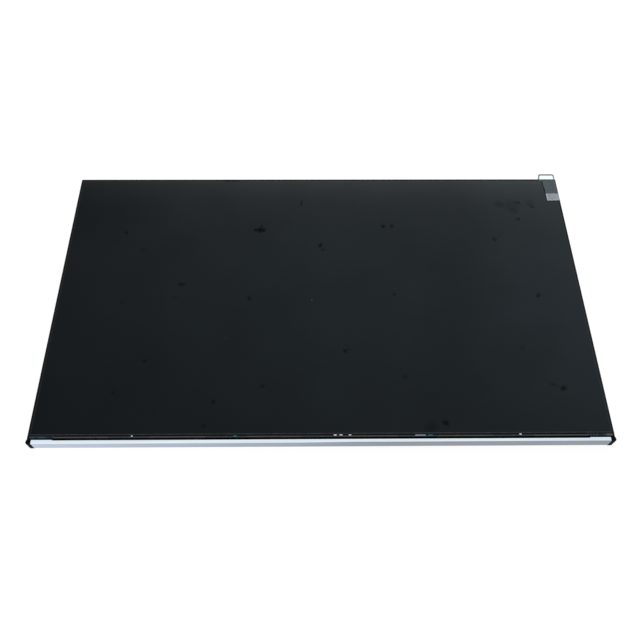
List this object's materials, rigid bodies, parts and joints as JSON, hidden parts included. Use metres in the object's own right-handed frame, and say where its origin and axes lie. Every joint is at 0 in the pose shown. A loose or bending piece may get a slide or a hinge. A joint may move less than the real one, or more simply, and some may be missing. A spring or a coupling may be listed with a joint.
{
  "type": "lcd screen panel",
  "caption": "Bare flat display module: black screen in a thin moulded frame, driver films on a bare glass ledge behind a folded metal foot bracket, and a pressed steel back.",
  "frame": {"origin": "centre of the four rear mounting holes, level with their flat faces, under the middle of the module's outline", "axes": "+X to the display's right, +Y to its top edge, +Z out of the screen"},
  "size_m": [0.539, 0.3198, 0.0137],
  "materials": {
    "clear_film": "clear film with a fine matt face",
    "tab_film": "clear film",
    "tab_adhesive": "hazy adhesive strip",
    "polariser": "anti-glare polariser",
    "panel_glass": "thin display glass",
    "black_sealant": "cured sealant",
    "silver_paste": "dried conductive paste",
    "black_foam": "foam tape",
    "black_moulding": "moulded, fine texture",
    "white_sheet": "optical sheet",
    "light_guide_acrylic": "clear acrylic",
    "grey_rubber": "moulded rubber",
    "lamp_white": "lamp body with phosphor",
    "lamp_board_white": "white-coated aluminium board",
    "amber_flex": "polyimide film",
    "driver_film_brown": "polyimide film with copper tracks",
    "chip_black": "moulded package",
    "board_green": "solder mask",
    "black_insulator": "insulating film",
    "ferrite_grey": "ferrite",
    "capacitor_tan": "fired ceramic",
    "socket_black": "moulded housing",
    "socket_ivory": "moulded housing",
    "shell_steel": "tinned sheet",
    "contact_gold": "plated contact",
    "zinc_sheet": "zinc-coated pressed sheet",
    "bracket_zinc": "zinc-coated folded sheet",
    "screw_steel": "plated screw"
  },
  "bodies": {
    "root": {"protective_film": "clear_film", "pull_tab": "tab_film", "pull_tab_tape": "tab_adhesive", "front_polariser": "polariser", "filter_glass": "panel_glass", "array_glass": "panel_glass", "rear_polariser": "polariser", "ledge_seal": "black_sealant", "paste_pads": "silver_paste", "cell_tape": "black_foam", "middle_frame": "black_moulding", "brightness_sheet": "white_sheet", "prism_sheet": "white_sheet", "diffuser_sheet": "white_sheet", "light_guide": "light_guide_acrylic", "guide_pads": "grey_rubber", "reflector_sheet": "white_sheet", "lamps": "lamp_white", "lamp_board": "lamp_board_white", "lamp_tape": "grey_rubber", "lamp_tail": "amber_flex", "back_cover": "zinc_sheet", "board_insulator": "black_insulator", "source_board": "board_green", "timing_chip": "chip_black", "power_chip": "chip_black", "inductors": "ferrite_grey", "capacitors": "capacitor_tan", "video_socket_body": "socket_black", "video_socket_shell": "shell_steel", "video_socket_contacts": "contact_gold", "lamp_socket_body": "socket_ivory", "lamp_socket_pins": "contact_gold", "tail_socket": "socket_ivory", "foot_bracket": "bracket_zinc", "bracket_screws": "screw_steel", "driver_film_1": "driver_film_brown", "driver_chip_1": "chip_black", "driver_film_2": "driver_film_brown", "driver_chip_2": "chip_black", "driver_film_3": "driver_film_brown", "driver_chip_3": "chip_black", "driver_film_4": "driver_film_brown", "driver_chip_4": "chip_black", "driver_film_5": "driver_film_brown", "driver_chip_5": "chip_black", "driver_film_6": "driver_film_brown", "driver_chip_6": "chip_black"}
  },
  "joints": []
}
